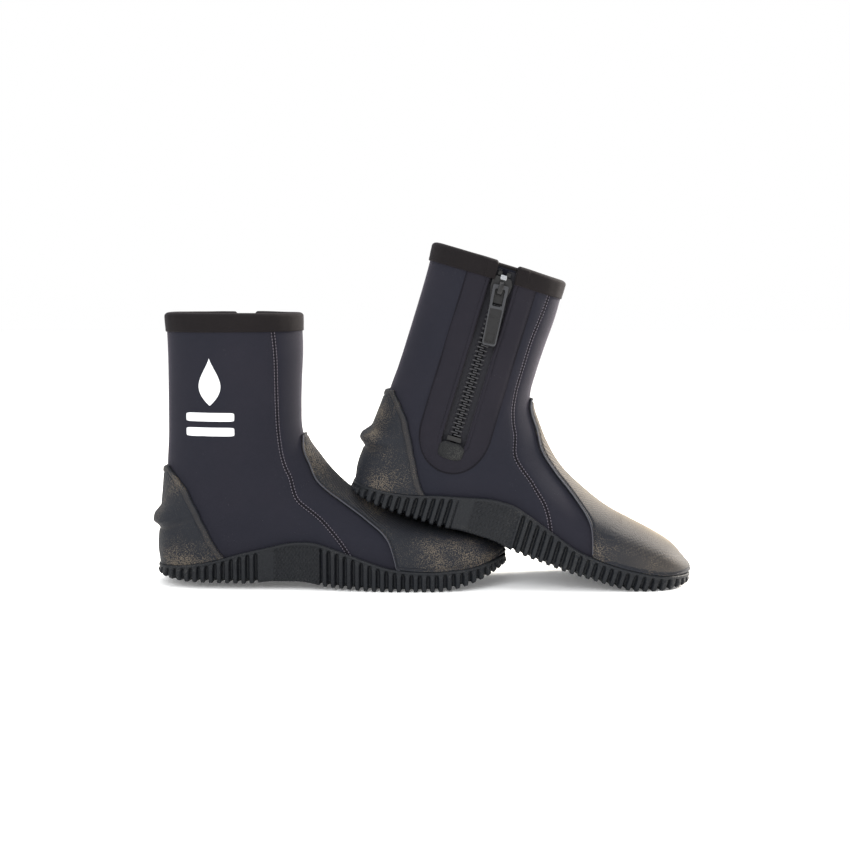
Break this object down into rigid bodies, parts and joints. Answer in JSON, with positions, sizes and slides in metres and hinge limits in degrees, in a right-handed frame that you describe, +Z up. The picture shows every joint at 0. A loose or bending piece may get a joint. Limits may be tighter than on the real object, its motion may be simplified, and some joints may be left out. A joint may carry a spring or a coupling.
{
  "type": "neoprene boots",
  "caption": "Pair of calf-height neoprene water-sports boots with side zips, moulded rubber toe and heel caps, lugged rubber soles and bound collars.",
  "frame": {"origin": "centre of the pair's box, on the surface it stands on", "axes": "+X towards the toes, along the pair's length; +Y towards the right boot's inner side; +Z up"},
  "size_m": [0.4456, 0.1056, 0.283],
  "materials": {
    "neoprene": "matte nylon jersey laminated on neoprene",
    "binding": "soft matte knitted binding tape",
    "sole_rubber": "moulded rubber, satin",
    "cap_rubber": "fine textured rubber, satin",
    "midsole_foam": "closed-cell foam",
    "insole_cloth": "brushed lining cloth",
    "zip_tape": "woven tape",
    "zip_plastic": "moulded plastic, semi-gloss",
    "pull_plastic": "moulded plastic, gloss",
    "stop_metal": "pressed metal, satin",
    "print": "matte screen print"
  },
  "bodies": {
    "right_boot": {"right_outsole": "sole_rubber", "right_midsole": "midsole_foam", "right_insole": "insole_cloth", "right_lateral_panel": "neoprene", "right_medial_panel": "neoprene", "right_front_panel": "neoprene", "right_zip_panel": "neoprene", "right_toe_cap": "cap_rubber", "right_heel_cap": "cap_rubber", "right_collar_binding": "binding", "right_zip_gusset": "neoprene", "right_zip_tape_front": "zip_tape", "right_zip_tape_rear": "zip_tape", "right_zip_teeth_front": "zip_plastic", "right_zip_teeth_rear": "zip_plastic", "right_top_stops": "zip_plastic", "right_bottom_stop": "stop_metal", "right_zip_end_patch": "cap_rubber", "right_print_mark": "print"},
    "right_slider": {"right_slider_body": "zip_plastic"},
    "right_pull": {"right_pull_tab": "pull_plastic"},
    "left_boot": {"left_outsole": "sole_rubber", "left_midsole": "midsole_foam", "left_insole": "insole_cloth", "left_lateral_panel": "neoprene", "left_medial_panel": "neoprene", "left_front_panel": "neoprene", "left_zip_panel": "neoprene", "left_toe_cap": "cap_rubber", "left_heel_cap": "cap_rubber", "left_collar_binding": "binding", "left_zip_gusset": "neoprene", "left_zip_tape_front": "zip_tape", "left_zip_tape_rear": "zip_tape", "left_zip_teeth_front": "zip_plastic", "left_zip_teeth_rear": "zip_plastic", "left_top_stops": "zip_plastic", "left_bottom_stop": "stop_metal", "left_zip_end_patch": "cap_rubber", "left_print_mark": "print"},
    "left_slider": {"left_slider_body": "zip_plastic"},
    "left_pull": {"left_pull_tab": "pull_plastic"}
  },
  "joints": [
    {"name": "left_boot_lift", "type": "slide", "parent": "right_boot", "child": "left_boot", "axis": [0, 0, 1], "range_m": [0, 0.3]},
    {"name": "right_zip", "type": "slide", "parent": "right_boot", "child": "right_slider", "axis": [0, 0, -1], "range_m": [0, 0.113], "deforming": ["right_zip_teeth_front", "right_zip_teeth_rear"]},
    {"name": "right_pull_swing", "type": "hinge", "parent": "right_slider", "child": "right_pull", "pos_m": [-0.15077, 0.039, 0.204], "axis": [1, 0, 0], "range_deg": [0, 160]},
    {"name": "left_zip", "type": "slide", "parent": "left_boot", "child": "left_slider", "axis": [-0.289, 0, -0.9573], "range_m": [0, 0.113], "deforming": ["left_zip_teeth_front", "left_zip_teeth_rear"]},
    {"name": "left_pull_swing", "type": "hinge", "parent": "left_slider", "child": "left_pull", "pos_m": [0.06314, -0.039, 0.24498], "axis": [-0.9789, 0, 0.2045], "range_deg": [0, 160]}
  ]
}
